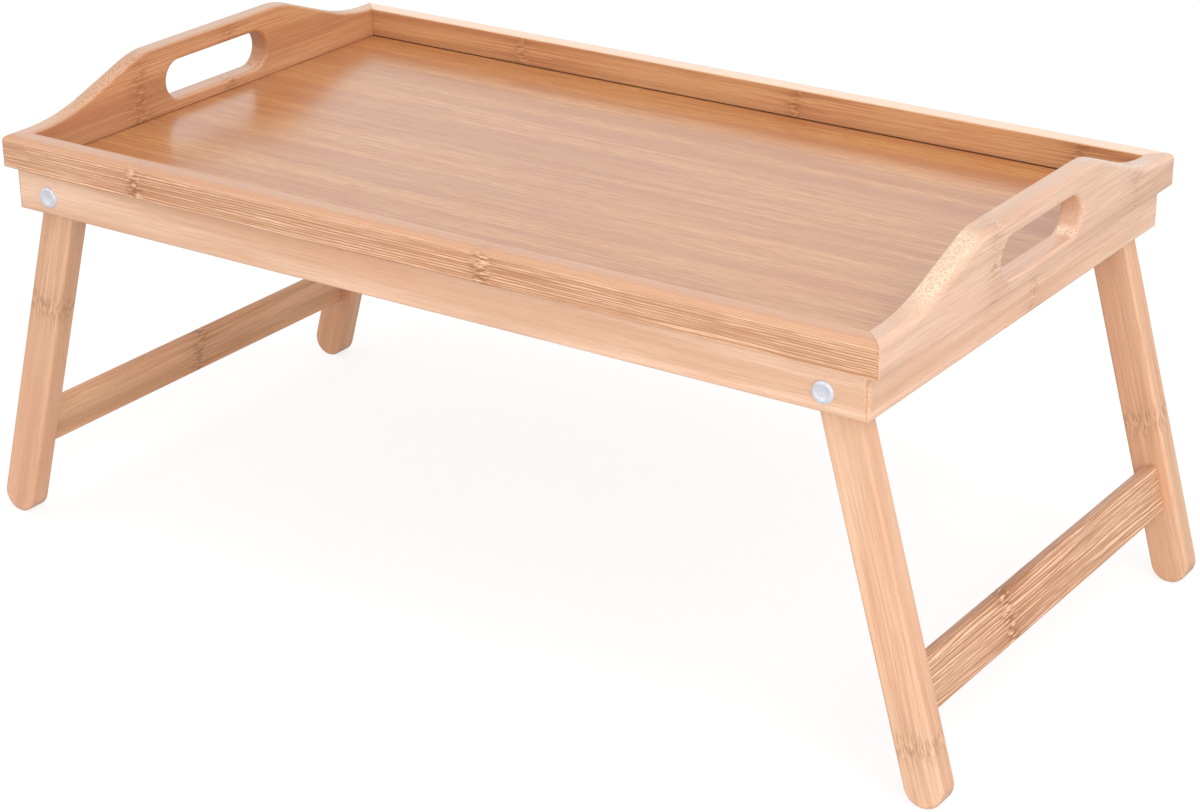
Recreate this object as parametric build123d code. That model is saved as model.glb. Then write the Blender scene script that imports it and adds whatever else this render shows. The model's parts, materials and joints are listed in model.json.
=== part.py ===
from build123d import *
import math
import os

# Folding bamboo tray table: a handled tray on two leg frames that fold flat beneath it.
# All sizes are millimetres. The origin is on the ground under the middle of the tray,
# +X runs along the tray's length, +Y to its rear and +Z up. Legs are modelled opened.

# Tray rim: the upper mitred frame, whose two ends rise into handles.
TRAY_LENGTH = 500.0
TRAY_WIDTH = 295.0
RIM_THICKNESS = 11.6
RIM_BOTTOM = 201.8
RIM_TOP = 218.5
RIM_OUTER_ROUND = 4.0
RIM_INNER_ROUND = 1.5
RIM_LOW_ROUND = 0.8
RIM_CORNER_RADIUS = 1.2

# Handle boards: a flat crest on sloping shoulders, with a round-ended hand slot. Crest and
# slot sit a little to the rear of the tray's middle.
HANDLE_TOP = 239.4
HANDLE_REARWARD = 3.0
CREST_HALF_WIDTH = 57.0
SHOULDER_FOOT = 115.0
CREST_RADIUS = 45.0
SHOULDER_RADIUS = 112.0
SLOT_LENGTH = 80.0
SLOT_HEIGHT = 20.4
SLOT_CENTRE_HEIGHT = 218.8
SLOT_ROUND = 2.2

# Apron: the lower mitred frame, set in under the rim.
APRON_BOTTOM = 180.4
APRON_INSET_LONG_SIDE = 3.0
APRON_INSET_END = 5.6
LONG_APRON_THICKNESS = 6.8
APRON_ROUND = 1.0
APRON_CORNER_RADIUS = 2.5

# Tray panel: its thin edge lies in a rebate of the aprons, held down by the rim.
PANEL_THICKNESS = 2.6
PANEL_TONGUE_THICKNESS = 1.9
PANEL_TONGUE_INSET = 2.9
PANEL_REBATE_GAP = 0.2
PANEL_GAP_LONG_SIDE = 0.7
PANEL_GAP_END = 0.3
PANEL_EDGE_CHAMFER = 0.3

# Shadow gap: a relief low on the rim's inner faces, which lets the panel swell.
RELIEF_HEIGHT = 1.2
RELIEF_DEPTH_LONG_SIDE = 2.4
RELIEF_DEPTH_END = 0.8

# Corner splines: hidden strips across each mitre.
SPLINE_THICKNESS = 2.0
SPLINE_WIDTH = 6.0
SPLINE_END_MARGIN = 3.5
RIM_SPLINE_TOP_MARGIN = 5.5

# Legs: flat bars with fully rounded ends, pivoted at their top round.
LEG_WIDTH = 19.6
LEG_THICKNESS = 12.5
LEG_EDGE_ROUND = 1.5
PIVOT_X = 222.8
PIVOT_HEIGHT = 189.9
SPLAY = 15.6
STOP_GAP = 0.08

# Stretchers: one board between the two legs of each frame.
STRETCHER_THICKNESS = 7.0
STRETCHER_HEIGHT = 25.0
STRETCHER_TOP_FROM_PIVOT = 133.0
STRETCHER_EDGE_ROUND = 1.5
DOWEL_DIAMETER = 5.0
DOWEL_DEPTH_IN_LEG = 8.0
DOWEL_DEPTH_IN_STRETCHER = 14.0
DOWEL_SPACING = 11.0
DOWEL_CHAMFER = 0.5

# Pivot bolts: a headed barrel from outside, closed by a screw from inside.
BARREL_DIAMETER = 6.0
BARREL_BORE = 4.0
BARREL_HEAD_DIAMETER = 10.6
BARREL_HEAD_HEIGHT = 1.6
BARREL_HEAD_ROUND = 1.0
BARREL_DISH_DIAMETER = 7.0
BARREL_DISH_DEPTH = 0.6
SCREW_HEAD_DIAMETER = 10.0
SCREW_HEAD_HEIGHT = 2.0
SCREW_HEAD_ROUND = 1.2
SCREW_SHANK_LENGTH = 16.0
SCREW_SOCKET_WIDTH = 3.0
SCREW_SOCKET_DEPTH = 1.2
WASHER_DIAMETER = 14.0
WASHER_THICKNESS = 0.8
RUNNING_GAP = 0.05
SIDE_GAP = 0.1

# Derived planes and distances.
RIM_OUTER = (TRAY_LENGTH / 2, TRAY_WIDTH / 2)
RIM_INNER = (RIM_OUTER[0] - RIM_THICKNESS, RIM_OUTER[1] - RIM_THICKNESS)
APRON_OUTER = (RIM_OUTER[0] - APRON_INSET_END, RIM_OUTER[1] - APRON_INSET_LONG_SIDE)
PANEL_BOTTOM = RIM_BOTTOM - PANEL_TONGUE_THICKNESS
PANEL_OUTER = (APRON_OUTER[0] - PANEL_TONGUE_INSET, APRON_OUTER[1] - PANEL_TONGUE_INSET)
LEG_CENTRES = (PIVOT_HEIGHT - LEG_WIDTH / 2) / math.cos(math.radians(SPLAY))
LEG_OUTER_Y = APRON_OUTER[1] - LONG_APRON_THICKNESS - WASHER_THICKNESS - SIDE_GAP
LEG_INNER_Y = LEG_OUTER_Y - LEG_THICKNESS
BARREL_END_Y = LEG_INNER_Y - SIDE_GAP
CUT_MARGIN = 20.0
EDGE_TOLERANCE = 0.01
SLOT_SEARCH_MARGIN = 1.0


def end_apron_inner_x():
    """The end apron's inner face, placed so that its lower inner edge stops the open leg."""
    sine = math.sin(math.radians(SPLAY))
    cosine = math.cos(math.radians(SPLAY))
    edge_height = APRON_BOTTOM + APRON_ROUND - PIVOT_HEIGHT
    reach = LEG_WIDTH / 2 + APRON_ROUND + STOP_GAP
    return PIVOT_X + (reach - edge_height * sine) / cosine - APRON_ROUND


APRON_INNER = (end_apron_inner_x(), APRON_OUTER[1] - LONG_APRON_THICKNESS)


def section(depth, low, high, radii):
    """A bar's cross-section: depth runs inwards from its outer face, height is up.

    radii are for the outer low, inner low, inner high and outer high corners.
    """
    corners = [(0, low), (depth, low), (depth, high), (0, high)]
    shape = make_face(Polyline(*corners, close=True))
    for corner, radius in zip(corners, radii):
        if radius > 0:
            nearest = shape.vertices().sort_by_distance(Vector(*corner, 0))[0]
            shape = fillet(nearest, radius)
    return shape


def rear_bar(outer, profile):
    """A bar along X whose outer face is at y = outer[1]."""
    start = (outer[0] + CUT_MARGIN, outer[1], 0)
    plane = Plane(origin=start, x_dir=(0, -1, 0), z_dir=(-1, 0, 0))
    return extrude(plane * profile, 2 * outer[0] + 2 * CUT_MARGIN)


def right_bar(outer, profile):
    """A bar along Y whose outer face is at x = outer[0]."""
    start = (outer[0], -outer[1] - CUT_MARGIN, 0)
    plane = Plane(origin=start, x_dir=(-1, 0, 0), z_dir=(0, 1, 0))
    return extrude(plane * profile, 2 * outer[1] + 2 * CUT_MARGIN)


def mitre_wedge(outer, inner, along_x):
    """The region of plan between two corner mitres, run past both faces of the bar."""
    run = (outer[0] - inner[0], outer[1] - inner[1])
    far = (outer[0] + run[0], outer[1] + run[1])
    near = (inner[0] - run[0], inner[1] - run[1])
    if along_x:
        points = [(-far[0], far[1]), far, near, (-near[0], near[1])]
    else:
        points = [(far[0], -far[1]), far, near, (near[0], -near[1])]
    return extrude(make_face(Polyline(*points, close=True)), HANDLE_TOP + CUT_MARGIN)


def corner_cutters(outer, radius):
    """What rounding the frame's four upright corners takes away."""
    height = HANDLE_TOP + CUT_MARGIN
    cutters = []
    for side_x in (1, -1):
        for side_y in (1, -1):
            x = side_x * (outer[0] - radius)
            y = side_y * (outer[1] - radius)
            block = Pos(x + side_x * radius, y + side_y * radius, height / 2) * Box(
                2 * radius, 2 * radius, height
            )
            post = Pos(x, y, height / 2) * Cylinder(radius, height)
            cutters.append(block - post)
    return cutters


def cut_all(body, cutters):
    """Take each cutter away from body."""
    for cutter in cutters:
        body = body - cutter
    return body


def handle_profile():
    """The handle board's outline on the YZ plane, with its hand slot."""
    run_out = RIM_OUTER[1] + CUT_MARGIN
    crest = FilletPolyline(
        (-run_out, RIM_TOP),
        (HANDLE_REARWARD - SHOULDER_FOOT, RIM_TOP),
        (HANDLE_REARWARD - CREST_HALF_WIDTH, HANDLE_TOP),
        (HANDLE_REARWARD + CREST_HALF_WIDTH, HANDLE_TOP),
        (HANDLE_REARWARD + SHOULDER_FOOT, RIM_TOP),
        (run_out, RIM_TOP),
        radius=[SHOULDER_RADIUS, CREST_RADIUS, CREST_RADIUS, SHOULDER_RADIUS],
    )
    sides = Polyline(
        (run_out, RIM_TOP), (run_out, RIM_BOTTOM), (-run_out, RIM_BOTTOM), (-run_out, RIM_TOP)
    )
    slot = Pos(HANDLE_REARWARD, SLOT_CENTRE_HEIGHT) * SlotOverall(SLOT_LENGTH, SLOT_HEIGHT)
    return make_face(crest + sides) - slot


def handle_board():
    """The right-hand board of the rim: crest, shoulders and slot, all edges rounded."""
    plane = Plane(origin=(RIM_INNER[0], 0, 0), x_dir=(0, 1, 0), z_dir=(1, 0, 0))
    board = extrude(plane * handle_profile(), RIM_THICKNESS)
    slot_reach = SLOT_LENGTH / 2 + SLOT_SEARCH_MARGIN
    slot_low = SLOT_CENTRE_HEIGHT - SLOT_HEIGHT / 2 - SLOT_SEARCH_MARGIN
    slot_high = SLOT_CENTRE_HEIGHT + SLOT_HEIGHT / 2 + SLOT_SEARCH_MARGIN

    def on_face(edge, x):
        box = edge.bounding_box()
        return max(abs(box.min.X - x), abs(box.max.X - x)) < EDGE_TOLERANCE

    def round_slot(edge):
        box = edge.bounding_box()
        inside_width = max(HANDLE_REARWARD - box.min.Y, box.max.Y - HANDLE_REARWARD) < slot_reach
        return inside_width and box.min.Z > slot_low and box.max.Z < slot_high

    def along_top(edge):
        return edge.bounding_box().min.Z > RIM_TOP - EDGE_TOLERANCE and not round_slot(edge)

    def along_bottom(edge):
        return edge.bounding_box().max.Z < RIM_BOTTOM + EDGE_TOLERANCE

    def upright(edge):
        return edge.bounding_box().size.X < EDGE_TOLERANCE

    slot_edges = [e for e in board.edges() if round_slot(e) and upright(e)]
    board = fillet(slot_edges, SLOT_ROUND)
    outer_top = [e for e in board.edges() if on_face(e, RIM_OUTER[0]) and along_top(e)]
    board = fillet(outer_top, RIM_OUTER_ROUND)
    inner_top = [e for e in board.edges() if on_face(e, RIM_INNER[0]) and along_top(e)]
    board = fillet(inner_top, RIM_INNER_ROUND)
    outer_low = [e for e in board.edges() if on_face(e, RIM_OUTER[0]) and along_bottom(e)]
    return fillet(outer_low, RIM_LOW_ROUND)


def mitre_spline(outer, inner, low, high):
    """A strip standing across the mitre of the rear right corner."""
    middle_x = (outer[0] + inner[0]) / 2
    middle_y = (outer[1] + inner[1]) / 2
    angle = math.degrees(math.atan2(outer[1] - inner[1], outer[0] - inner[0]))
    strip = Box(SPLINE_THICKNESS, SPLINE_WIDTH, high - low)
    return Pos(middle_x, middle_y, (low + high) / 2) * Rot(Z=angle) * strip


def four_corners(shape):
    """The shape and its mirror images, one at each corner of the tray."""
    across = [shape, mirror(shape, about=Plane.YZ)]
    return across + [mirror(item, about=Plane.XZ) for item in across]


def rim_parts():
    """The four mitred pieces of the rim and the splines in its corners."""
    low = RIM_BOTTOM + SPLINE_END_MARGIN
    high = RIM_TOP - RIM_SPLINE_TOP_MARGIN
    splines = four_corners(mitre_spline(RIM_OUTER, RIM_INNER, low, high))
    relief = Pos(0, 0, RIM_BOTTOM + (RELIEF_HEIGHT - CUT_MARGIN) / 2) * Box(
        2 * (RIM_INNER[0] + RELIEF_DEPTH_END),
        2 * (RIM_INNER[1] + RELIEF_DEPTH_LONG_SIDE),
        RELIEF_HEIGHT + CUT_MARGIN,
    )
    cutters = corner_cutters(RIM_OUTER, RIM_CORNER_RADIUS) + splines + [relief]
    profile = section(
        RIM_THICKNESS,
        RIM_BOTTOM,
        RIM_TOP,
        (RIM_LOW_ROUND, 0, RIM_INNER_ROUND, RIM_OUTER_ROUND),
    )
    rail = rear_bar(RIM_OUTER, profile) & mitre_wedge(RIM_OUTER, RIM_INNER, True)
    rail = cut_all(rail, cutters)
    board = handle_board() & mitre_wedge(RIM_OUTER, RIM_INNER, False)
    board = cut_all(board, cutters)
    return {
        "rear_rim_rail": rail,
        "front_rim_rail": mirror(rail, about=Plane.XZ),
        "right_handle_board": board,
        "left_handle_board": mirror(board, about=Plane.YZ),
        "rim_corner_splines": Compound(children=splines),
    }


def apron_parts():
    """The four mitred aprons under the rim and the splines in their corners."""
    splines = four_corners(
        mitre_spline(
            APRON_OUTER,
            APRON_INNER,
            APRON_BOTTOM + SPLINE_END_MARGIN,
            PANEL_BOTTOM - SPLINE_END_MARGIN,
        )
    )
    rebate = Pos(0, 0, PANEL_BOTTOM + CUT_MARGIN / 2) * Box(
        2 * PANEL_OUTER[0] + 2 * PANEL_REBATE_GAP,
        2 * PANEL_OUTER[1] + 2 * PANEL_REBATE_GAP,
        CUT_MARGIN,
    )
    cutters = corner_cutters(APRON_OUTER, APRON_CORNER_RADIUS) + splines + [rebate]
    radii = (APRON_ROUND, APRON_ROUND, 0, 0)
    long_profile = section(LONG_APRON_THICKNESS, APRON_BOTTOM, RIM_BOTTOM, radii)
    end_profile = section(APRON_OUTER[0] - APRON_INNER[0], APRON_BOTTOM, RIM_BOTTOM, radii)
    long_apron = rear_bar(APRON_OUTER, long_profile) & mitre_wedge(APRON_OUTER, APRON_INNER, True)
    long_apron = cut_all(long_apron, cutters + pivot_holes())
    end_apron = right_bar(APRON_OUTER, end_profile) & mitre_wedge(APRON_OUTER, APRON_INNER, False)
    end_apron = cut_all(end_apron, cutters)
    return {
        "rear_apron": long_apron,
        "front_apron": mirror(long_apron, about=Plane.XZ),
        "right_end_apron": end_apron,
        "left_end_apron": mirror(end_apron, about=Plane.YZ),
        "apron_corner_splines": Compound(children=splines),
    }


def pivot_holes():
    """The barrels' holes through the rear apron."""
    length = LONG_APRON_THICKNESS + CUT_MARGIN
    middle_y = APRON_OUTER[1] - LONG_APRON_THICKNESS / 2
    hole = Rot(X=90) * Cylinder(BARREL_DIAMETER / 2, length)
    return [Pos(side * PIVOT_X, middle_y, PIVOT_HEIGHT) * hole for side in (1, -1)]


def tray_panel():
    """The thin board that is the tray's floor, raised inside the rim and thin under it."""
    tongue = Pos(0, 0, PANEL_BOTTOM + PANEL_TONGUE_THICKNESS / 2) * Box(
        2 * PANEL_OUTER[0], 2 * PANEL_OUTER[1], PANEL_TONGUE_THICKNESS
    )
    floor = Pos(0, 0, PANEL_BOTTOM + PANEL_THICKNESS / 2) * Box(
        2 * (RIM_INNER[0] - PANEL_GAP_END),
        2 * (RIM_INNER[1] - PANEL_GAP_LONG_SIDE),
        PANEL_THICKNESS,
    )
    floor = chamfer(floor.faces().sort_by(Axis.Z)[-1].edges(), PANEL_EDGE_CHAMFER)
    return tongue + floor


def on_pivot(shape, y):
    """Move a shape built along +Z to the rear right pivot, pointing to the rear from y."""
    return Pos(PIVOT_X, y, PIVOT_HEIGHT) * Rot(X=-90) * shape


def pivot_barrel():
    """Headed barrel: its dished head is outside, its sleeve runs in through the leg."""
    head_radius = BARREL_HEAD_DIAMETER / 2
    sleeve_length = APRON_OUTER[1] - BARREL_END_Y
    head = Pos(0, 0, BARREL_HEAD_HEIGHT / 2) * Cylinder(head_radius, BARREL_HEAD_HEIGHT)
    head = fillet(head.edges().sort_by(Axis.Z)[-1], BARREL_HEAD_ROUND)
    dish_radius = BARREL_DISH_DIAMETER / 2
    ball_radius = (dish_radius**2 + BARREL_DISH_DEPTH**2) / (2 * BARREL_DISH_DEPTH)
    ball = Pos(0, 0, BARREL_HEAD_HEIGHT - BARREL_DISH_DEPTH + ball_radius) * Sphere(ball_radius)
    sleeve = Pos(0, 0, -sleeve_length / 2) * Cylinder(BARREL_DIAMETER / 2, sleeve_length)
    bore = Pos(0, 0, -sleeve_length + SCREW_SHANK_LENGTH / 2) * Cylinder(
        BARREL_BORE / 2, SCREW_SHANK_LENGTH
    )
    return on_pivot(head - ball + sleeve - bore, APRON_OUTER[1])


def pivot_screw():
    """Screw that closes the barrel: a domed head on the leg's inner side and its shank."""
    head = Pos(0, 0, -SCREW_HEAD_HEIGHT / 2) * Cylinder(SCREW_HEAD_DIAMETER / 2, SCREW_HEAD_HEIGHT)
    head = fillet(head.edges().sort_by(Axis.Z)[0], SCREW_HEAD_ROUND)
    socket = Pos(0, 0, -SCREW_HEAD_HEIGHT) * extrude(
        RegularPolygon(SCREW_SOCKET_WIDTH / 2, 6, major_radius=False), SCREW_SOCKET_DEPTH
    )
    shank = Pos(0, 0, SCREW_SHANK_LENGTH / 2) * Cylinder(BARREL_BORE / 2, SCREW_SHANK_LENGTH)
    return on_pivot(head - socket + shank, BARREL_END_Y)


def pivot_washer():
    """Washer that keeps the leg off the apron."""
    disc = Cylinder(WASHER_DIAMETER / 2, WASHER_THICKNESS)
    hole = Cylinder(BARREL_DIAMETER / 2, 2 * WASHER_THICKNESS)
    ring = Pos(0, 0, WASHER_THICKNESS / 2) * (disc - hole)
    return on_pivot(ring, LEG_OUTER_Y + SIDE_GAP)


def in_leg_frame(shape):
    """Move a shape from the leg's own frame, hung from its pivot, to the open right side."""
    return Pos(PIVOT_X, 0, PIVOT_HEIGHT) * Rot(Y=-SPLAY) * shape


def stretcher_dowels():
    """Dowels in the leg's own frame: two into each leg, half in the stretcher."""
    length = DOWEL_DEPTH_IN_LEG + DOWEL_DEPTH_IN_STRETCHER
    middle_y = LEG_INNER_Y + DOWEL_DEPTH_IN_LEG - length / 2
    middle_z = -STRETCHER_TOP_FROM_PIVOT - STRETCHER_HEIGHT / 2
    pin = Rot(X=90) * Cylinder(DOWEL_DIAMETER / 2, length)
    pin = chamfer(pin.edges(), DOWEL_CHAMFER)
    return [
        Pos(0, side * middle_y, middle_z + step * DOWEL_SPACING / 2) * pin
        for side in (1, -1)
        for step in (1, -1)
    ]


def rear_leg():
    """The rear leg in its own frame: a round-ended bar, drilled for barrel and dowels."""
    middle_y = (LEG_OUTER_Y + LEG_INNER_Y) / 2
    outline = Rot(Z=90) * SlotCenterToCenter(LEG_CENTRES, LEG_WIDTH)
    plane = Plane(
        origin=(0, LEG_OUTER_Y, -LEG_CENTRES / 2), x_dir=(1, 0, 0), z_dir=(0, -1, 0)
    )
    leg = extrude(plane * outline, LEG_THICKNESS)
    rims = leg.edges().filter_by(lambda e: e.bounding_box().size.Y < EDGE_TOLERANCE)
    leg = fillet(rims, LEG_EDGE_ROUND)
    bore = Pos(0, middle_y, 0) * Rot(X=90) * Cylinder(
        BARREL_DIAMETER / 2 + RUNNING_GAP, 2 * LEG_THICKNESS
    )
    return cut_all(leg, [bore] + stretcher_dowels())


def stretcher():
    """The board between the legs, in the leg's own frame."""
    board = Box(STRETCHER_THICKNESS, 2 * LEG_INNER_Y, STRETCHER_HEIGHT)
    board = fillet(board.edges().filter_by(Axis.Y), STRETCHER_EDGE_ROUND)
    board = Pos(0, 0, -STRETCHER_TOP_FROM_PIVOT - STRETCHER_HEIGHT / 2) * board
    return cut_all(board, stretcher_dowels())


def leg_frame_parts():
    """Both leg frames: two legs, a stretcher and its dowels in each."""
    leg = in_leg_frame(rear_leg())
    frame = {
        "rear_{}_leg": leg,
        "front_{}_leg": mirror(leg, about=Plane.XZ),
        "{}_stretcher": in_leg_frame(stretcher()),
        "{}_stretcher_dowels": Compound(children=[in_leg_frame(pin) for pin in stretcher_dowels()]),
    }
    parts = {}
    for name, shape in frame.items():
        parts[name.format("right")] = shape
        parts[name.format("left")] = mirror(shape, about=Plane.YZ)
    return parts


def pivot_parts():
    """Barrel, screw and washer at each of the four pivots."""
    corners = ["rear_right", "rear_left", "front_right", "front_left"]
    hardware = {"barrel": pivot_barrel(), "screw": pivot_screw(), "washer": pivot_washer()}
    parts = {}
    for kind, shape in hardware.items():
        for corner, placed in zip(corners, four_corners(shape)):
            parts[f"{corner}_pivot_{kind}"] = placed
    return parts


def main():
    """Build every sub-part and write one STEP file for each."""
    parts = {"tray_panel": tray_panel()}
    parts.update(rim_parts())
    parts.update(apron_parts())
    parts.update(pivot_parts())
    parts.update(leg_frame_parts())
    os.makedirs("parts", exist_ok=True)
    for name, shape in parts.items():
        export_step(shape, f"parts/{name}.step")
    print(len(parts), "sub-parts")


main()
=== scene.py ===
import json
import math

import bpy
from mathutils import Matrix, Vector


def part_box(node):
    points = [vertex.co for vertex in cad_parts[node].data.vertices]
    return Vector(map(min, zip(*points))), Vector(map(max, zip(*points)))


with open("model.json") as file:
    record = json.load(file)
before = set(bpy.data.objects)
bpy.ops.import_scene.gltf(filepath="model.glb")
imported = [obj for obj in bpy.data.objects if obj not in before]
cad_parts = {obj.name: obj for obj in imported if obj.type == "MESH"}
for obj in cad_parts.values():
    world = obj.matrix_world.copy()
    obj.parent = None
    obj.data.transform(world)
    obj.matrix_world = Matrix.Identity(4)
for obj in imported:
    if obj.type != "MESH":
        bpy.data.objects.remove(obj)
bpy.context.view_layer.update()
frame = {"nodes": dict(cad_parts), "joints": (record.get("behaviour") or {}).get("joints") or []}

# Looks of the folding bamboo tray table. Metres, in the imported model's frame: the origin is on
# the ground under the middle of the tray, +X along its length, +Y to its rear, +Z up.

# Camera: where it stands round the tray, in degrees and metres, and its lens in millimetres.
CAMERA_AZIMUTH = 34.36
CAMERA_ELEVATION = 23.60
CAMERA_ROLL = -0.37
CAMERA_DISTANCE = 1.460
CAMERA_TARGET = Vector((0.0106, 0.0, 0.0797))
CAMERA_LENS = 85.8
SENSOR_WIDTH = 36.0

# The open leg frames lean outwards by what their fold's range goes past a right angle.
SPLAY = frame["joints"][0]["range_deg"][1] - 90.0
PIVOTS = {joint["name"].removesuffix("_fold"): joint["pos_m"] for joint in frame["joints"]}

# Studio: how bright the surroundings are at the horizon, overhead and underfoot, and between
# which heights of the view direction, from -1 straight down to 1 straight up, they change.
HORIZON_LIGHT = 1.0
OVERHEAD_LIGHT = 0.45
OVERHEAD_FADE = (0.50, 0.95)
UNDERFOOT_LIGHT = 0.40
UNDERFOOT_FADE = (-0.08, 0.0)

# Softboxes: place, width and height, power in watts, and whether glossy surfaces mirror them.
LIGHTS = {
    "key": ((1.6, -0.9, 1.7), (1.6, 1.6), 22.0, False),
    "top": ((-0.5, -0.2, 2.2), (1.8, 1.8), 8.0, True),
    "front": ((1.0, -1.7, 0.4), (1.4, 0.8), 9.0, False),
}
LIGHT_TARGET = Vector((0.0, 0.0, 0.12))

# Floor: the sheet that the camera sees, and under it the one that throws light back up.
SEEN_FLOOR = dict(height=-0.0002, half=40.0, albedo=0.25, glow=0.80)
BOUNCE_FLOOR = dict(height=-0.0006, half=8.0, albedo=0.80, glow=0.0)

# Bamboo's patterns: the length along the fibres and the width across them of their features.
WANDER = (0.15, 0.03)
TONE_BANDS = (0.35, 0.012)
BLUSHES = (0.09, 0.035)
FIBRE_ZONES = (0.12, 0.009)
HAIRS = (0.011, 0.0006)
BUNDLES = (0.045, 0.0017)
CUT_BUNDLES = (0.0012, 0.0012)
JOINT_PATCHES = (0.5, 0.007)
JOINT_DASHES = (0.0045, 0.0011)
POLISH = (0.06, 0.03)

# How far the fibres wander sideways over their length.
WANDER_REACH = 0.0022

# Evenly spaced fibre rows: their spacing, by how many rows they drift sideways, and how broad
# the strips are that drift together.
ROW_PITCH = 0.0013
ROW_DRIFT = 2.5
ROW_STRIP = 0.005

# A culm joint's zigzag across the fibres: the breadth and reach of its coarse and fine teeth.
# Its pattern doesn't change along the fibres, so its length there is far beyond any piece.
COARSE_TEETH = (0.0050, 0.007)
FINE_TEETH = (0.0013, 0.006)
ENDLESS = 1000.0

# How fast the streaks beside a culm joint die away, per metre: before it and after it.
STREAK_DECAY = (100.0, 35.0)

# Heights of the bumps that the fibres and the fine hairs make.
FIBRE_RELIEF = 0.00006
HAIR_RELIEF = 0.00002

# Glue line in the mitres: half its width, how much it shows, and its colour.
MITRE_LINE = 0.00035
MITRE_DARKNESS = 0.40
GLUE_LINE = (0.24, 0.10, 0.04)

# Bamboo's colour on faces that point up, partly worn lacquer and partly painted light and shade;
# bamboo where it was cut aslant to its fibres and sanded; and the tint of its rosier patches.
DEFAULT_TOP_WEAR_AND_LIGHTING = (0.90, 0.62, 0.43)
SANDED = (0.98, 0.79, 0.59)
ROSY = (1.0, 0.93, 0.92)

# How strongly end grain darkens, and how strongly the cut fibre bundles show on it as dots.
END_DARKNESS = 0.55
END_DOTS = 0.60

# Metal: how many tarnish spots and scratches there are in a metre.
TARNISH_SCALE = 900.0
SCRATCH_SCALE = 6000.0

# Coats, then the bamboo of each group of pieces: pale between its fibres and deep on them.
LACQUER = dict(Coat_Weight=0.8, Coat_Roughness=0.22, Specular_IOR_Level=0.3)
THIN_LACQUER = dict(Coat_Weight=0.15, Coat_Roughness=0.3, Specular_IOR_Level=0.2)
VARNISH = dict(Coat_Weight=1.0, Coat_IOR=1.6, Coat_Roughness=0.22, Specular_IOR_Level=0.4)
# The worn colours below are top colours: partly wear, and partly painted light and shade on faces
# that point up.
RIM = dict(pale=(0.88, 0.57, 0.38), deep=(0.45, 0.19, 0.08), worn=(0.63, 0.32, 0.18), **LACQUER)
# Painted shade: the rear rail and the left handle board show their inner faces, inside the tray, so
# their bamboo is darker than the rest.
REAR_SHADED = dict(pale=(0.70, 0.38, 0.18), deep=(0.42, 0.17, 0.07), worn=(0.96, 0.70, 0.52), **LACQUER)
INNER_SHADED = dict(pale=(0.65, 0.34, 0.17), deep=(0.42, 0.17, 0.07), **LACQUER)
BOARD = dict(pale=(0.83, 0.555, 0.405), deep=(0.57, 0.32, 0.20), worn=(0.68, 0.42, 0.28), **LACQUER)
APRON = dict(pale=(0.85, 0.57, 0.405), deep=(0.58, 0.30, 0.16), **LACQUER)
LEG = dict(pale=(0.84, 0.53, 0.345), deep=(0.56, 0.29, 0.16), **LACQUER)
# Painted shade: darker copies of the leg bamboo for the legs that get less light, and below, of the
# stretcher bamboo for the left stretcher under the tray.
HALF_SHADED_LEG = dict(pale=(0.79, 0.48, 0.30), deep=(0.54, 0.27, 0.14), **LACQUER)
SHADED_LEG = dict(pale=(0.76, 0.43, 0.25), deep=(0.48, 0.23, 0.11), **LACQUER)
STRETCHER = dict(pale=(0.90, 0.60, 0.41), deep=(0.42, 0.18, 0.08), **THIN_LACQUER)
SHADED_STRETCHER = dict(pale=(0.80, 0.47, 0.28), deep=(0.50, 0.25, 0.12), **THIN_LACQUER)
PANEL = dict(pale=(0.705, 0.35, 0.12), deep=(0.44, 0.145, 0.042), **VARNISH)

ALUMINIUM = (0.84, 0.85, 0.93)
STEEL = (0.62, 0.62, 0.64)


def make_camera():
    """A camera at the reference viewing angle, rolled a little about its line of sight."""
    azimuth = math.radians(CAMERA_AZIMUTH)
    elevation = math.radians(CAMERA_ELEVATION)
    roll = math.radians(CAMERA_ROLL)
    back = Vector(
        (
            math.sin(azimuth) * math.cos(elevation),
            -math.cos(azimuth) * math.cos(elevation),
            math.sin(elevation),
        )
    )
    level_right = Vector((math.cos(azimuth), math.sin(azimuth), 0.0))
    level_up = back.cross(level_right)
    right = level_right * math.cos(roll) + level_up * math.sin(roll)
    up = level_up * math.cos(roll) - level_right * math.sin(roll)
    data = bpy.data.cameras.new("camera")
    data.lens = CAMERA_LENS
    data.sensor_width = SENSOR_WIDTH
    data.clip_start = 0.05
    data.clip_end = 100.0
    camera = bpy.data.objects.new("camera", data)
    axes = Matrix((right, up, back)).transposed().to_4x4()
    camera.matrix_world = Matrix.Translation(CAMERA_TARGET + back * CAMERA_DISTANCE) @ axes
    bpy.context.scene.collection.objects.link(camera)
    bpy.context.scene.camera = camera


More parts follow.
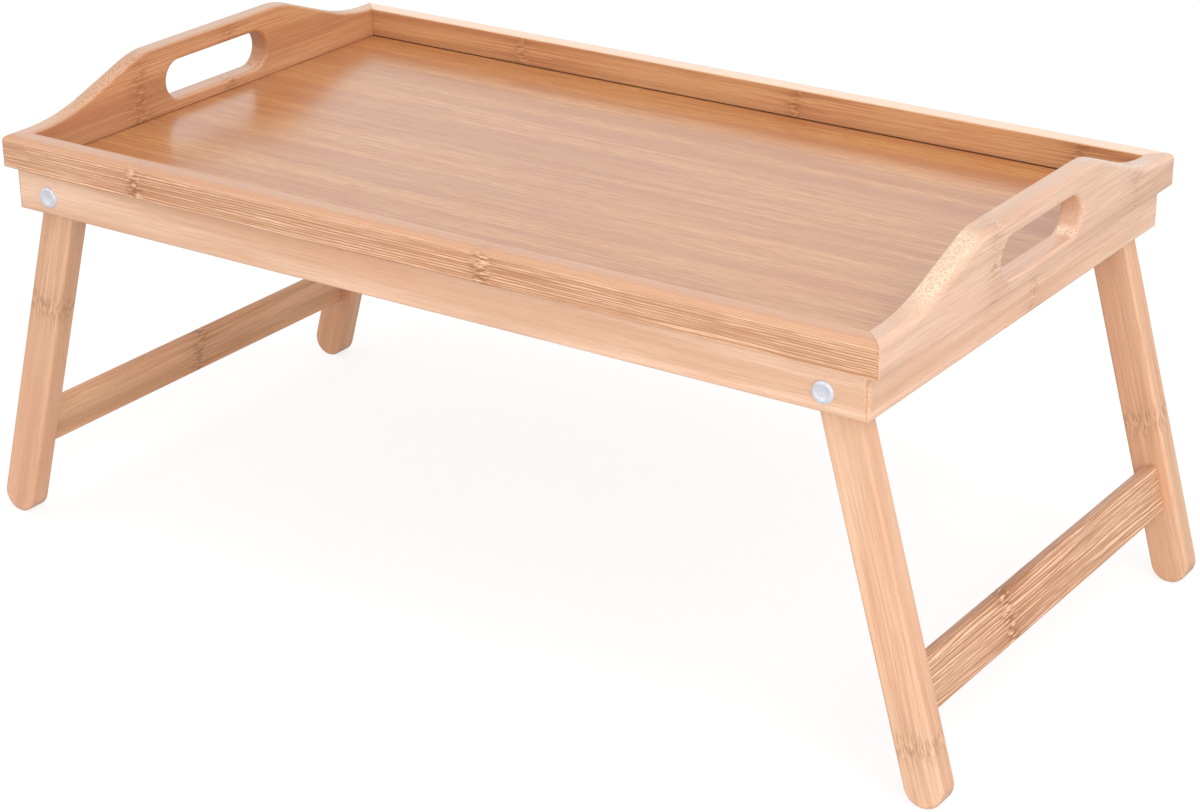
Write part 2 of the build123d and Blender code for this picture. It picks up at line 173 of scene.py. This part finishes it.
class Tree:
    """Short calls that add shader nodes to one material and link them."""

    def __init__(self, name):
        self.material = bpy.data.materials.new(name)
        self.material.use_nodes = True
        self.nodes = self.material.node_tree.nodes
        self.links = self.material.node_tree.links
        self.nodes.clear()

    def put(self, socket, value):
        """Link value to socket if it is a socket itself, else set it there."""
        if isinstance(value, bpy.types.NodeSocket):
            self.links.new(value, socket)
        elif isinstance(value, tuple) and len(value) == 3 and socket.type == "RGBA":
            socket.default_value = (*value, 1.0)
        else:
            socket.default_value = value

    def coordinate(self, kind):
        """The surface point ("Object") or the direction that the surface faces ("Normal")."""
        return self.nodes.new("ShaderNodeTexCoord").outputs[kind]

    def math(self, operation, first, second=None, clamp=False):
        node = self.nodes.new("ShaderNodeMath")
        node.operation = operation
        node.use_clamp = clamp
        self.put(node.inputs[0], first)
        if second is not None:
            self.put(node.inputs[1], second)
        return node.outputs[0]

    def scaled(self, value, factor, offset=0.0):
        """value * factor + offset."""
        node = self.nodes.new("ShaderNodeMath")
        node.operation = "MULTIPLY_ADD"
        self.put(node.inputs[0], value)
        self.put(node.inputs[1], factor)
        self.put(node.inputs[2], offset)
        return node.outputs[0]

    def vector(self, along, across, over):
        node = self.nodes.new("ShaderNodeCombineXYZ")
        self.put(node.inputs[0], along)
        self.put(node.inputs[1], across)
        self.put(node.inputs[2], over)
        return node.outputs[0]

    def parts(self, vector):
        """A vector's x, y and z."""
        split = self.nodes.new("ShaderNodeSeparateXYZ")
        self.put(split.inputs[0], vector)
        return tuple(split.outputs)

    def measured_from(self, point, origin):
        node = self.nodes.new("ShaderNodeVectorMath")
        node.operation = "SUBTRACT"
        self.put(node.inputs[0], point)
        node.inputs[1].default_value = origin
        return node.outputs[0]

    def enlarged(self, vector, factor):
        node = self.nodes.new("ShaderNodeVectorMath")
        node.operation = "SCALE"
        self.put(node.inputs[0], vector)
        node.inputs["Scale"].default_value = factor
        return node.outputs[0]

    def noise(self, point, detail=2.0, roughness=0.55):
        """Smooth noise from 0 to 1 with features one unit of point apart."""
        node = self.nodes.new("ShaderNodeTexNoise")
        node.inputs["Scale"].default_value = 1.0
        node.inputs["Detail"].default_value = detail
        node.inputs["Roughness"].default_value = roughness
        self.put(node.inputs["Vector"], point)
        return node.outputs["Fac"]

    def cells(self, point):
        """Distance to the nearest of scattered points about one unit apart."""
        node = self.nodes.new("ShaderNodeTexVoronoi")
        node.inputs["Scale"].default_value = 1.0
        self.put(node.inputs["Vector"], point)
        return node.outputs["Distance"]

    def surface_up(self):
        """How far the surface faces up: 1 on a level top."""
        return self.parts(self.coordinate("Normal"))[2]

    def mitre(self, outer, inner):
        """1 on the upright plane through two plan corners (and its mirror images), 0 off it."""
        x, y, _ = self.parts(self.coordinate("Object"))
        run = (Vector(outer) - Vector(inner)).normalized()
        side_x = self.math("SUBTRACT", self.math("ABSOLUTE", x), outer[0])
        side_y = self.math("SUBTRACT", self.math("ABSOLUTE", y), outer[1])
        off = self.scaled(side_x, run.y, self.math("MULTIPLY", side_y, -run.x))
        return self.step(self.math("ABSOLUTE", off), MITRE_LINE, 0.0)

    def step(self, value, low, high):
        """0 at low, 1 at high and beyond, smooth between; low may be the greater of the two."""
        node = self.nodes.new("ShaderNodeMapRange")
        node.interpolation_type = "SMOOTHSTEP"
        self.put(node.inputs["Value"], value)
        self.put(node.inputs["From Min"], low)
        self.put(node.inputs["From Max"], high)
        return node.outputs["Result"]

    def mix(self, factor, first, second, blend="MIX"):
        node = self.nodes.new("ShaderNodeMix")
        node.data_type = "RGBA"
        node.blend_type = blend
        self.put(node.inputs["Factor"], factor)
        self.put(node.inputs[6], first)
        self.put(node.inputs[7], second)
        return node.outputs[2]

    def paint(self, colour, coat, *shares):
        """The colour covered by coat, as much as the shares multiplied together say."""
        share = shares[0]
        for factor in shares[1:]:
            share = self.math("MULTIPLY", share, factor)
        return self.mix(share, colour, coat)

    def bump(self, height, distance, normal=None):
        node = self.nodes.new("ShaderNodeBump")
        node.inputs["Strength"].default_value = 1.0
        node.inputs["Distance"].default_value = distance
        self.put(node.inputs["Height"], height)
        if normal is not None:
            self.put(node.inputs["Normal"], normal)
        return node.outputs[0]

    def finish(self, colour, roughness, normal=None, **constants):
        """A Principled surface: constants go straight onto its sockets."""
        shader = self.nodes.new("ShaderNodeBsdfPrincipled")
        output = self.nodes.new("ShaderNodeOutputMaterial")
        self.put(shader.inputs["Base Color"], colour)
        self.put(shader.inputs["Roughness"], roughness)
        if normal is not None:
            self.put(shader.inputs["Normal"], normal)
        for name, value in constants.items():
            shader.inputs[name.replace("_", " ")].default_value = value
        self.links.new(shader.outputs[0], output.inputs[0])
        return self.material


class Wood:
    """One piece's surface point in its own grain: along the fibres, across and over, in metres.

    grain is "x" or "y", or a leg frame's name, whose fibres run down its leaning legs. The seed
    gives each piece its own pattern.
    """

    def __init__(self, tree, grain, seed):
        self.tree = tree
        self.grain = grain
        self.seed = seed
        point = tree.coordinate("Object")
        if grain in PIVOTS:
            point = tree.measured_from(point, PIVOTS[grain])
        along, across, over = self.in_grain(point)
        self.along = along
        self.across = tree.scaled(across, 1.0, seed * 0.137)
        self.over = tree.scaled(over, 1.0, seed * 0.071)
        wander = tree.math("SUBTRACT", self.noise(WANDER, detail=1.0), 0.5)
        self.across = tree.scaled(wander, WANDER_REACH, self.across)
        self.over = tree.scaled(wander, -WANDER_REACH, self.over)

    def in_grain(self, vector):
        """A vector's parts along the fibres, across and over."""
        if self.grain in PIVOTS:
            lean = SPLAY if self.grain == "right_leg" else -SPLAY
            turn = self.tree.nodes.new("ShaderNodeVectorRotate")
            turn.rotation_type = "Y_AXIS"
            turn.inputs["Angle"].default_value = math.radians(lean)
            self.tree.put(turn.inputs["Vector"], vector)
            vector = turn.outputs[0]
        x, y, z = self.tree.parts(vector)
        return {"x": (x, y, z), "y": (y, x, z)}.get(self.grain, (z, x, y))

    def stretched(self, size, shift=0.0):
        """The point in units of size, a (length, width) pair; shift picks another pattern."""
        length, width = size
        return self.tree.vector(
            self.tree.scaled(self.along, 1.0 / length, self.seed * 3.1 + shift),
            self.tree.scaled(self.across, 1.0 / width, shift),
            self.tree.scaled(self.over, 1.0 / width),
        )

    def noise(self, size, shift=0.0, **settings):
        return self.tree.noise(self.stretched(size, shift), **settings)

    def cells(self, size):
        return self.tree.cells(self.stretched(size))


def bamboo(
    name,
    grain,
    seed,
    pale,
    deep,
    fibre=1.0,
    streak=1.0,
    speck=0.2,
    run=0.10,
    pitch=0.0017,
    evenness=0.0,
    joints=(),
    joint_width=0.0040,
    joint_contrast=1.0,
    joint_fade=0.0,
    edge_wear=0.0,
    slope_wear=0.0,
    worn_top=0.0,
    worn=DEFAULT_TOP_WEAR_AND_LIGHTING,
    level=(0.25, 0.85),
    seams=(),
    gloss=0.40,
    **constants,
):
    """Lacquered bamboo: soft tone bands, long dark fibres, and ragged culm joints across them.

    pale and deep are its colours between the fibres and on them. fibre, streak and speck are how
    strongly the fibres, the tone bands and the fine flecks show. run and pitch are a fibre's
    length and width, and evenness, from 0 to 1, sets the fibres in regular rows.

    joints are the places along the grain where the culm's joints show. joint_width,
    joint_contrast and joint_fade are how broad, strong and patchy they are.

    edge_wear paints shade on rounded top edges, and slope_wear pales sloping cuts.
    worn_top gives faces that point up the colour worn, which is
    partly worn lacquer and partly painted light and shade: level is how far up they must point for
    it to start and to be full. seams are (outer, inner) plan corners of mitres, where a glue line
    shows. gloss is the mean roughness under the coat, and constants are the shader's other
    settings.
    """
    tree = Tree(name)
    wood = Wood(tree, grain, seed)
    middle = tuple(0.45 * light + 0.55 * dark for light, dark in zip(pale, deep))
    hairs = wood.noise(HAIRS, detail=1.5, roughness=0.6)
    dark_line, fibre_share = fibre_lines(wood, fibre, run, pitch, evenness)
    height = tree.math("SUBTRACT", 1.0, dark_line)

    colour = tone_bands(wood, pale, middle, streak)
    colour = tree.paint(colour, deep, tree.step(hairs, 0.42, 0.66), speck)
    colour = tree.paint(colour, deep, tree.step(wood.cells(BUNDLES), 0.42, 0.12), speck)
    if joints:
        near, flare = culm_joints(wood, joints, joint_width, joint_fade)
        flare = tree.math("MULTIPLY", flare, 0.85 * joint_contrast)
        fibre_share = tree.math("ADD", fibre_share, tree.math("MULTIPLY", dark_line, flare))
    colour = tree.paint(colour, deep, tree.math("MINIMUM", fibre_share, 0.92))
    if joints:
        dashes = wood.noise(JOINT_DASHES, shift=3.0, detail=1.5)
        dark_dash = tree.math("MULTIPLY", near, tree.step(dashes, 0.50, 0.60))
        pale_dash = tree.math("MULTIPLY", near, tree.step(dashes, 0.48, 0.38))
        ridge = tuple(0.72 * part for part in deep)
        highlight = tuple(min(1.0, 1.10 * part) for part in pale)
        colour = tree.paint(colour, deep, near, 0.4 * joint_contrast)
        colour = tree.paint(colour, ridge, dark_dash, 0.8 * joint_contrast)
        colour = tree.paint(colour, highlight, pale_dash, 0.7 * joint_contrast)
        height = tree.math("SUBTRACT", height, tree.math("MULTIPLY", dark_dash, 1.5))
    # Painted shade: rounded top edges are darkened towards the middle colour.
    if edge_wear:
        up = tree.surface_up()
        rounded = tree.math("MULTIPLY", tree.step(up, 0.12, 0.45), tree.step(up, 0.99, 0.90))
        colour = tree.paint(colour, middle, rounded, edge_wear)
    # Painted light and shade with some wear: faces that point up take the top colour, paler than
    # the bamboo on the rear rail and the left handle board, darker on the front rail and on the
    # right handle board's crest.
    if worn_top:
        colour = tree.paint(colour, worn, tree.step(tree.surface_up(), *level), worn_top)
    colour = end_grain(wood, colour, deep, slope_wear)
    for outer, inner in seams:
        colour = tree.paint(colour, GLUE_LINE, tree.mitre(outer, inner), MITRE_DARKNESS)

    polish = wood.noise(POLISH, detail=3.0)
    roughness = tree.scaled(polish, 0.16, gloss - 0.08)
    roughness = tree.scaled(dark_line, 0.05, roughness)
    normal = tree.bump(height, FIBRE_RELIEF)
    normal = tree.bump(hairs, HAIR_RELIEF, normal)
    return tree.finish(colour, roughness, normal, **constants)


def tone_bands(wood, pale, middle, streak):
    """Long bands between the pale and the middle colour, with rosier patches."""
    tree = wood.tree
    band = wood.noise(TONE_BANDS, detail=2.5)
    blush = wood.noise(BLUSHES, shift=5.0, detail=2.0)
    colour = tree.paint(pale, middle, tree.step(band, 0.38, 0.62), streak)
    rosy = tree.mix(1.0, colour, ROSY, "MULTIPLY")
    return tree.paint(colour, rosy, tree.step(blush, 0.42, 0.62))


def fibre_lines(wood, fibre, run, pitch, evenness):
    """Where the dark fibres are (1 on them), and how much of the deep colour they take."""
    tree = wood.tree
    lines = wood.noise((run, pitch), detail=1.0, roughness=0.5)
    zone = wood.noise(FIBRE_ZONES, detail=2.0)
    off_line = tree.math("ABSOLUTE", tree.math("SUBTRACT", lines, 0.5))
    dark_line = tree.step(off_line, 0.11, 0.03)
    if evenness:
        drift = wood.noise((run, ROW_STRIP), shift=7.0, detail=1.0)
        turns = tree.math("MULTIPLY", drift, ROW_DRIFT * math.tau)
        phase = tree.scaled(tree.math("ADD", wood.across, wood.over), math.tau / ROW_PITCH, turns)
        row = tree.step(tree.math("SINE", phase), 0.0, 0.9)
        row = tree.math("MULTIPLY", row, tree.scaled(zone, 0.9, 0.5))
        row = tree.math("MULTIPLY", row, evenness, clamp=True)
        dark_line = tree.math("MAXIMUM", row, tree.scaled(dark_line, 1.0 - 0.6 * evenness))
    zoned = tree.step(zone, 0.28, 0.62)
    even_share = (0.18 + 0.37 * evenness) * fibre
    zone_share = 0.55 * (1.0 - evenness) * fibre
    share = tree.math("MULTIPLY", dark_line, tree.scaled(zoned, zone_share, even_share))
    return dark_line, share


def culm_joints(wood, places, width, fade):
    """How near the surface point is to a culm joint, and how strong the streaks beside it are."""
    tree = wood.tree
    shifted = wood.along
    for (breadth, reach), shift in ((COARSE_TEETH, 0.0), (FINE_TEETH, 2.0)):
        teeth = wood.noise((ENDLESS, breadth), shift, detail=1.0)
        shifted = tree.scaled(tree.math("SUBTRACT", teeth, 0.5), reach, shifted)
    before, after = STREAK_DECAY
    near = 0.0
    flare = 0.0
    for place in places:
        gap = tree.math("SUBTRACT", shifted, place)
        spread = tree.math("POWER", tree.math("MULTIPLY", gap, 1.0 / width), 2.0)
        mark = tree.math("EXPONENT", tree.math("MULTIPLY", spread, -1.0))
        near = tree.math("MAXIMUM", mark, near)
        rate = tree.scaled(tree.math("GREATER_THAN", gap, 0.0), before - after, -before)
        decay = tree.math("EXPONENT", tree.math("MULTIPLY", tree.math("ABSOLUTE", gap), rate))
        flare = tree.math("MAXIMUM", decay, flare)
    patchy = wood.noise(JOINT_PATCHES, shift=9.0, detail=1.0)
    faded = tree.scaled(tree.step(patchy, 0.55, 0.35), -fade, 1.0)
    return tree.math("MULTIPLY", near, faded), flare


def end_grain(wood, colour, deep, slope_wear):
    """The colour where the surface cuts across the fibres: darker, and dotted with bundles."""
    tree = wood.tree
    facing_end = tree.math("ABSOLUTE", wood.in_grain(tree.coordinate("Normal"))[0])
    cut = tree.step(facing_end, 0.12, 0.32)
    colour = tree.paint(colour, deep, tree.step(facing_end, 0.45, 0.90), END_DARKNESS)
    if slope_wear:
        upward = tree.step(tree.surface_up(), 0.55, 0.85)
        colour = tree.paint(colour, SANDED, cut, upward, slope_wear)
    dots = tree.step(wood.cells(CUT_BUNDLES), 0.55, 0.28)
    return tree.paint(colour, deep, dots, cut, END_DOTS)


def metal(name, base, gloss, scratch):
    """Turned metal with a little tarnish and fine scratches, scratch metres deep."""
    tree = Tree(name)
    point = tree.coordinate("Object")
    tarnish = tree.noise(tree.enlarged(point, TARNISH_SCALE), detail=3.0)
    grit = tree.noise(tree.enlarged(point, SCRATCH_SCALE), detail=2.0)
    dull = tuple(0.86 * part for part in base)
    colour = tree.paint(base, dull, tree.step(tarnish, 0.4, 0.7))
    roughness = tree.scaled(tarnish, 0.14, gloss - 0.07)
    return tree.finish(colour, roughness, tree.bump(grit, scratch), Metallic=0.5)


def dress(material, *nodes):
    """Give CAD nodes a material in every slot that they have."""
    for name in nodes:
        mesh = frame["nodes"][name].data
        if not mesh.materials:
            mesh.materials.append(material)
        for index in range(len(mesh.materials)):
            mesh.materials[index] = material


def dress_each(looks, **shared):
    """Give each node in looks its own bamboo."""
    for node, look in looks.items():
        dress(bamboo(node + "_bamboo", **look, **shared), node)


def plan_corner(node, outer):
    """A frame piece's outer or inner corner in plan, from its box: both coordinates positive."""
    low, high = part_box(node)
    pick = max if outer else min
    return [pick(abs(low[axis]), abs(high[axis])) for axis in (0, 1)]


def frame_corners(long_piece, end_piece):
    """The mitre's outer and inner corners where a long piece meets an end piece."""
    outer = plan_corner(long_piece, True)
    inner = (plan_corner(end_piece, False)[0], plan_corner(long_piece, False)[1])
    return tuple(outer), inner


def dress_rim():
    """The raised rim: two rails and two handle boards, joined by mitres."""
    looks = {
        "front_rim_rail": dict(
            grain="x", seed=1.0, fibre=2.0, streak=0.35, speck=0.35, run=0.12, pitch=0.0012,
            evenness=0.9, joints=(-0.161, 0.047), joint_width=0.005, edge_wear=0.5,
            worn_top=0.7, **RIM,
        ),
        # The rear rail and the left handle board take bamboo darkened as painted shade.
        "rear_rim_rail": dict(
            grain="x", seed=2.0, fibre=0.35, joints=(-0.134, 0.042, 0.205),
            joint_contrast=0.8, joint_fade=0.4, worn_top=0.9, **REAR_SHADED,
        ),
        "left_handle_board": dict(
            grain="y", seed=3.0, fibre=0.35, joints=(-0.059, 0.012), joint_width=0.006,
            joint_contrast=0.7, joint_fade=0.8, worn_top=0.3, **INNER_SHADED,
        ),
        "right_handle_board": dict(
            grain="y", seed=24.0, fibre=0.35, joints=(-0.043, 0.103), joint_width=0.005,
            joint_contrast=0.6, joint_fade=0.9, edge_wear=0.3, slope_wear=0.5, worn_top=0.5,
            level=(0.93, 0.99), **BOARD,
        ),
    }
    dress_each(looks, seams=(frame_corners("front_rim_rail", "right_handle_board"),))


def dress_aprons():
    """The lower frame: four aprons, joined by mitres."""
    looks = {
        "front_apron": dict(grain="x", seed=5.0, fibre=0.35),
        "rear_apron": dict(grain="x", seed=6.0, fibre=0.5, joints=(-0.02,)),
        "left_end_apron": dict(grain="y", seed=7.0, fibre=0.5, joints=(0.05,)),
        "right_end_apron": dict(
            grain="y", seed=8.0, fibre=0.35, joints=(0.0075,), joint_contrast=0.5
        ),
    }
    dress_each(looks, seams=(frame_corners("front_apron", "right_end_apron"),), **APRON)


def dress_legs():
    """The two leg frames. Their grain is their body's, and their joints are below the pivot."""
    legs = {
        # Three legs take darker copies of the leg bamboo as painted shade, the rear left one, under
        # the tray, most.
        "front_left_leg": dict(grain="left_leg", seed=11.0, joints=(-0.067,), **HALF_SHADED_LEG),
        "rear_left_leg": dict(grain="left_leg", seed=12.0, joints=(-0.105,), **SHADED_LEG),
        "front_right_leg": dict(grain="right_leg", seed=13.0, joints=(-0.168,), **LEG),
        "rear_right_leg": dict(grain="right_leg", seed=14.0, joints=(-0.109,), **HALF_SHADED_LEG),
    }
    dress_each(legs, fibre=0.35, streak=0.7, joint_width=0.006, joint_contrast=0.6)
    stretchers = {
        "right_stretcher": dict(
            seed=15.0, fibre=1.8, streak=0.4, speck=0.35, pitch=0.0014, evenness=0.8,
            joints=(-0.042,), joint_width=0.005, **STRETCHER,
        ),
        # Painted shade: the left stretcher, under the tray, takes a darker copy of the stretcher
        # bamboo.
        "left_stretcher": dict(seed=16.0, fibre=0.5, joints=(-0.005,), **SHADED_STRETCHER),
    }
    dress_each(stretchers, grain="y")


def dress_panel_and_fixings():
    """The tray's floor, and the wooden strips and dowels inside the joints."""
    panel = bamboo(
        "panel_bamboo", "x", 9.0, fibre=0.75, streak=1.0, speck=0.6, run=0.25, gloss=0.35, **PANEL
    )
    dress(panel, "tray_panel")
    dress(
        bamboo("spline_bamboo", "y", 10.0, fibre=0.5, **LEG),
        "rim_corner_splines",
        "apron_corner_splines",
        "left_stretcher_dowels",
        "right_stretcher_dowels",
    )


def dress_pivots():
    """The metal of the four pivots."""
    aluminium = metal("pivot_aluminium", ALUMINIUM, gloss=0.40, scratch=0.000004)
    steel = metal("washer_steel", STEEL, gloss=0.35, scratch=0.000006)
    for name in frame["nodes"]:
        if name.endswith(("_pivot_barrel", "_pivot_screw")):
            dress(aluminium, name)
        elif name.endswith("_pivot_washer"):
            dress(steel, name)


def softbox(name, place, size, power, mirrored):
    """A rectangular light aimed at the tray; mirrored is whether glossy surfaces show it."""
    data = bpy.data.lights.new(name, "AREA")
    data.shape = "RECTANGLE"
    data.size, data.size_y = size
    data.energy = power
    light = bpy.data.objects.new(name, data)
    light.location = place
    light.rotation_mode = "QUATERNION"
    light.rotation_quaternion = (LIGHT_TARGET - Vector(place)).to_track_quat("-Z", "Y")
    light.visible_glossy = mirrored
    bpy.context.scene.collection.objects.link(light)


def world_light():
    """Surroundings that are bright round the horizon, dimmer overhead and dimmer underfoot."""
    world = bpy.data.worlds.new("studio")
    world.use_nodes = True
    nodes, links = world.node_tree.nodes, world.node_tree.links
    split = nodes.new("ShaderNodeSeparateXYZ")
    links.new(nodes.new("ShaderNodeTexCoord").outputs["Generated"], split.inputs[0])

    def fade(heights, lower, upper):
        node = nodes.new("ShaderNodeMapRange")
        node.interpolation_type = "SMOOTHSTEP"
        links.new(split.outputs["Z"], node.inputs["Value"])
        node.inputs["From Min"].default_value, node.inputs["From Max"].default_value = heights
        node.inputs["To Min"].default_value = lower
        node.inputs["To Max"].default_value = upper
        return node.outputs["Result"]

    dimmer = nodes.new("ShaderNodeMath")
    dimmer.operation = "MINIMUM"
    links.new(fade(OVERHEAD_FADE, HORIZON_LIGHT, OVERHEAD_LIGHT), dimmer.inputs[0])
    links.new(fade(UNDERFOOT_FADE, UNDERFOOT_LIGHT, HORIZON_LIGHT), dimmer.inputs[1])
    links.new(dimmer.outputs[0], nodes["Background"].inputs["Strength"])
    nodes["Background"].inputs["Color"].default_value = (1.0, 1.0, 1.0, 1.0)
    bpy.context.scene.world = world


def floor_sheet(name, height, half, albedo, glow):
    """A faintly mottled level sheet, half metres to each side, that isn't part of the object."""
    tree = Tree(name)
    mottling = tree.noise(tree.coordinate("Object"))
    colour = tree.paint((albedo,) * 3, (0.96 * albedo,) * 3, mottling, 0.1)
    material = tree.finish(
        colour, 0.9, Emission_Strength=glow, Emission_Color=(1.0, 1.0, 1.0, 1.0),
        Specular_IOR_Level=0.0,
    )
    mesh = bpy.data.meshes.new(name)
    corners = [(-half, -half, 0), (half, -half, 0), (half, half, 0), (-half, half, 0)]
    mesh.from_pydata(corners, [], [(0, 1, 2, 3)])
    mesh.materials.append(material)
    sheet = bpy.data.objects.new(name, mesh)
    sheet.location.z = height
    bpy.context.scene.collection.objects.link(sheet)
    return sheet


def make_studio():
    """Bright surroundings, large soft lights and a pale floor.

    The floor is two sheets: the white one that the camera sees, and below it the one that
    throws light back up under the tray.
    """
    world_light()
    for name, setting in LIGHTS.items():
        softbox(name, *setting)
    seen = floor_sheet("floor", **SEEN_FLOOR)
    seen.visible_diffuse = False
    seen.visible_glossy = False
    seen.visible_shadow = False
    bounce = floor_sheet("floor_bounce", **BOUNCE_FLOOR)
    bounce.visible_camera = False
    bounce.visible_glossy = False
    bpy.context.scene.view_settings.view_transform = "Standard"


make_camera()
make_studio()
dress_rim()
dress_aprons()
dress_panel_and_fixings()
dress_legs()
dress_pivots()
